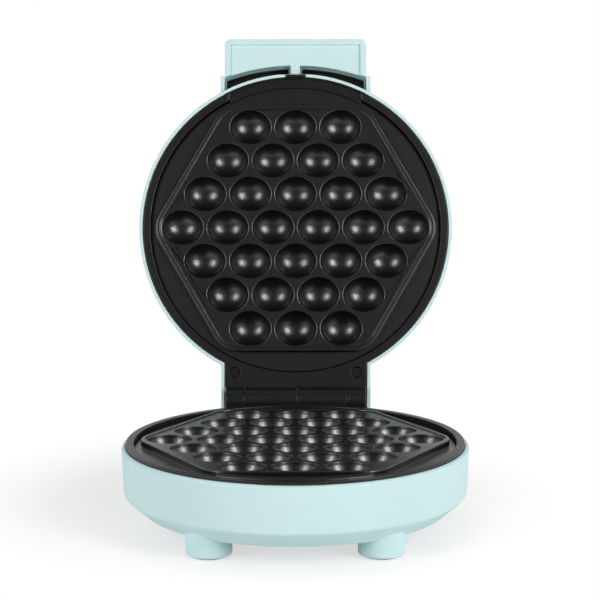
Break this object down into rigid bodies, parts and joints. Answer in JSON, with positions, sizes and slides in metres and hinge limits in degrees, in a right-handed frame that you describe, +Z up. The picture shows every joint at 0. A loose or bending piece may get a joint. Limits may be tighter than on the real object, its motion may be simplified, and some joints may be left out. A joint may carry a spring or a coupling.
{
  "type": "bubble waffle maker",
  "caption": "Round tabletop bubble waffle maker with a hinged lid, flat front handle and black plates with oval half-bubbles in a hexagon.",
  "frame": {"origin": "on the table, under the middle of the round base", "axes": "+Z up, +Y towards the hinge at the back, +X to the right seen from the front"},
  "size_m": [0.205, 0.306, 0.2807],
  "materials": {
    "mint_plastic": "fine satin moulded plastic, pale mint blue",
    "black_plastic": "satin heat-proof plastic, black",
    "nonstick_aluminium": "cast aluminium under a black non-stick coat, half gloss",
    "grey_rubber": "soft grey rubber",
    "black_rubber": "black rubber",
    "sheath_steel": "heat-tinted steel",
    "bright_aluminium": "bright rolled sheet",
    "white_ceramic": "unglazed steatite",
    "lead_sleeve": "glass-fibre sleeve",
    "pin_steel": "turned steel",
    "screw_steel": "zinc-plated steel",
    "black_screw_steel": "blackened steel",
    "red_lens": "clear red lens",
    "green_lens": "clear green lens",
    "lamp_glass": "clear glass bulb"
  },
  "bodies": {
    "base": {"base_shell": "mint_plastic", "foot_pads": "grey_rubber", "base_bezel": "black_plastic", "lower_plate": "nonstick_aluminium", "lower_element": "sheath_steel", "lower_element_terminals": "white_ceramic", "lower_reflector": "bright_aluminium", "lower_thermal_fuse": "sheath_steel", "thermostat": "white_ceramic", "terminal_block": "white_ceramic", "base_leads": "lead_sleeve", "lead_inlet_grommet": "black_rubber", "hinge_pin": "pin_steel", "base_bezel_screws": "black_screw_steel", "lower_plate_screws": "screw_steel", "lower_reflector_screws": "screw_steel", "thermostat_screws": "screw_steel", "terminal_block_screws": "screw_steel"},
    "lid": {"lid_shell": "mint_plastic", "handle_pocket_liners": "black_plastic", "lid_bezel": "black_plastic", "upper_plate": "nonstick_aluminium", "upper_element": "sheath_steel", "upper_element_terminals": "white_ceramic", "upper_reflector": "bright_aluminium", "upper_thermal_fuse": "sheath_steel", "lid_leads": "lead_sleeve", "power_lens": "red_lens", "power_lamp": "lamp_glass", "ready_lens": "green_lens", "ready_lamp": "lamp_glass", "lid_bezel_screws": "black_screw_steel", "upper_plate_screws": "screw_steel", "upper_reflector_screws": "screw_steel"}
  },
  "joints": [
    {"name": "lid_hinge", "type": "hinge", "parent": "base", "child": "lid", "pos_m": [0, 0.1137, 0.0507], "axis": [1, 0, 0], "range_deg": [0, 105.1]}
  ]
}
